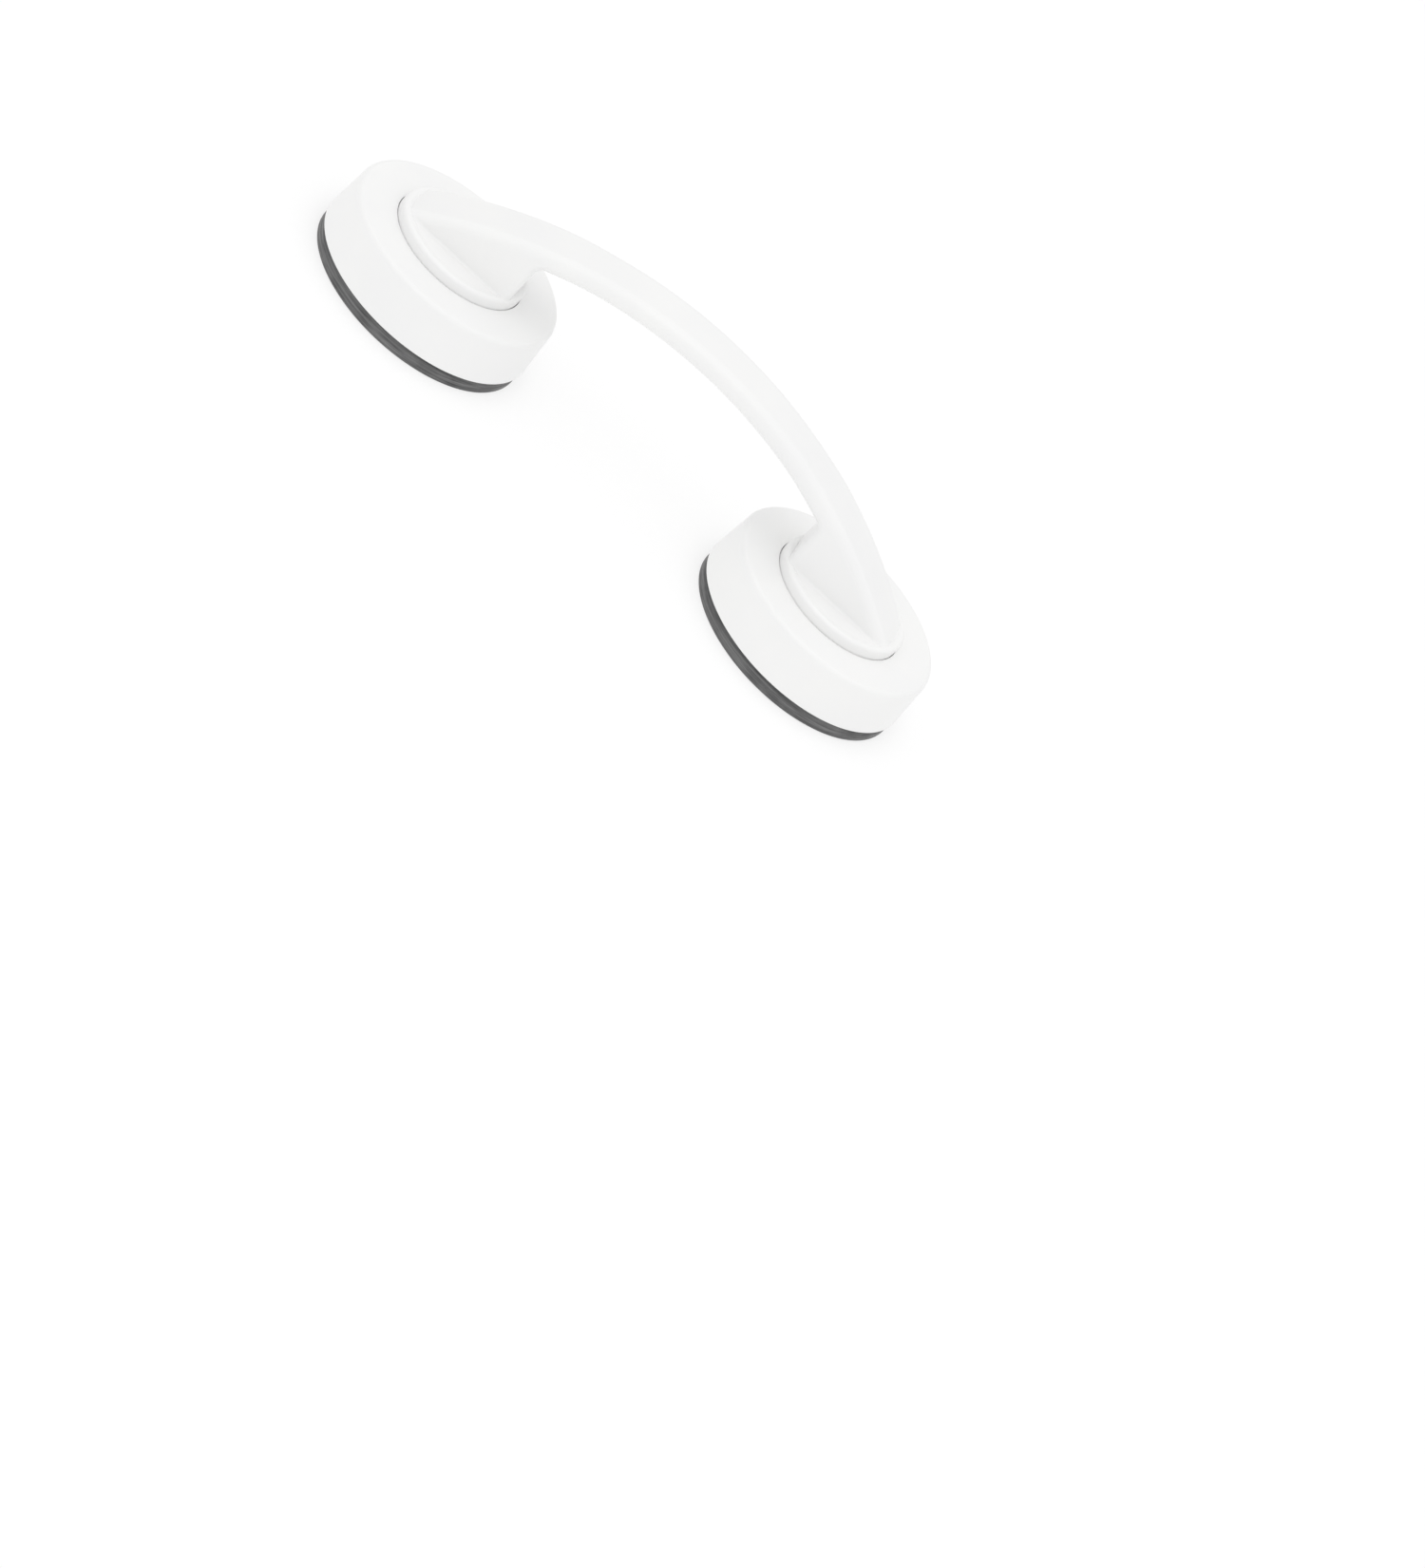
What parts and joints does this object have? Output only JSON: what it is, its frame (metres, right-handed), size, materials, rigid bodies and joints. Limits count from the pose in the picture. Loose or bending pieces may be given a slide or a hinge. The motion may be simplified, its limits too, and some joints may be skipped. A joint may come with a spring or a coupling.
{
  "type": "suction grab bar",
  "caption": "Suction grab bar: an arched hand grip whose round feet stand in twist-lock housings that lift rubber suction pads, for a hold on a smooth wall.",
  "frame": {"origin": "on the wall plane, midway between the two suction cups", "axes": "+X along the bar from the left cup to the right one, +Z away from the wall, +Y across the bar"},
  "size_m": [0.2894, 0.096, 0.0709],
  "materials": {
    "white_abs": "moulded white ABS, satin gloss",
    "rubber": "moulded dark grey rubber, matt with a smooth sealing rim",
    "acetal": "natural acetal, slippery",
    "glass_filled_nylon": "grey glass-filled nylon",
    "plated_steel": "zinc-plated steel",
    "hardened_steel": "ground hardened steel",
    "spring_steel": "drawn stainless spring wire"
  },
  "bodies": {
    "handle": {"handle_shell": "white_abs", "handle_lower_cover": "white_abs", "cover_screws": "plated_steel", "suction_pad_left": "rubber", "return_spring_left": "spring_steel", "slip_ring_left": "acetal", "hub_left": "glass_filled_nylon", "hub_screws_left": "plated_steel", "suction_pad_right": "rubber", "return_spring_right": "spring_steel", "slip_ring_right": "acetal", "hub_right": "glass_filled_nylon", "hub_screws_right": "plated_steel"},
    "dial_left": {"twist_housing_left": "white_abs", "pressure_plate_left": "glass_filled_nylon", "plate_screws_left": "plated_steel", "cam_ring_left": "acetal", "cam_screws_left": "plated_steel", "thrust_washer_left": "acetal"},
    "stem_left": {"stem_left": "plated_steel", "cross_pin_left": "hardened_steel", "insert_plate_left": "plated_steel"},
    "dial_right": {"twist_housing_right": "white_abs", "pressure_plate_right": "glass_filled_nylon", "plate_screws_right": "plated_steel", "cam_ring_right": "acetal", "cam_screws_right": "plated_steel", "thrust_washer_right": "acetal"},
    "stem_right": {"stem_right": "plated_steel", "cross_pin_right": "hardened_steel", "insert_plate_right": "plated_steel"}
  },
  "joints": [
    {"name": "housing_twist_left", "type": "hinge", "parent": "handle", "child": "dial_left", "pos_m": [-0.09675, 0, 0], "axis": [0, 0, 1], "range_deg": [-90, 0]},
    {"name": "stem_lift_left", "type": "slide", "parent": "handle", "child": "stem_left", "axis": [0, 0, 1], "range_m": [0, 0.0035], "deforming": ["return_spring_left", "suction_pad_left"]},
    {"name": "housing_twist_right", "type": "hinge", "parent": "handle", "child": "dial_right", "pos_m": [0.09675, 0, 0], "axis": [0, 0, 1], "range_deg": [-90, 0]},
    {"name": "stem_lift_right", "type": "slide", "parent": "handle", "child": "stem_right", "axis": [0, 0, 1], "range_m": [0, 0.0035], "deforming": ["return_spring_right", "suction_pad_right"]}
  ],
  "couplings": [
    {"joint": "stem_lift_left", "follows": "housing_twist_left", "m_per_rad": -0.002228},
    {"joint": "stem_lift_right", "follows": "housing_twist_right", "m_per_rad": -0.002228}
  ]
}
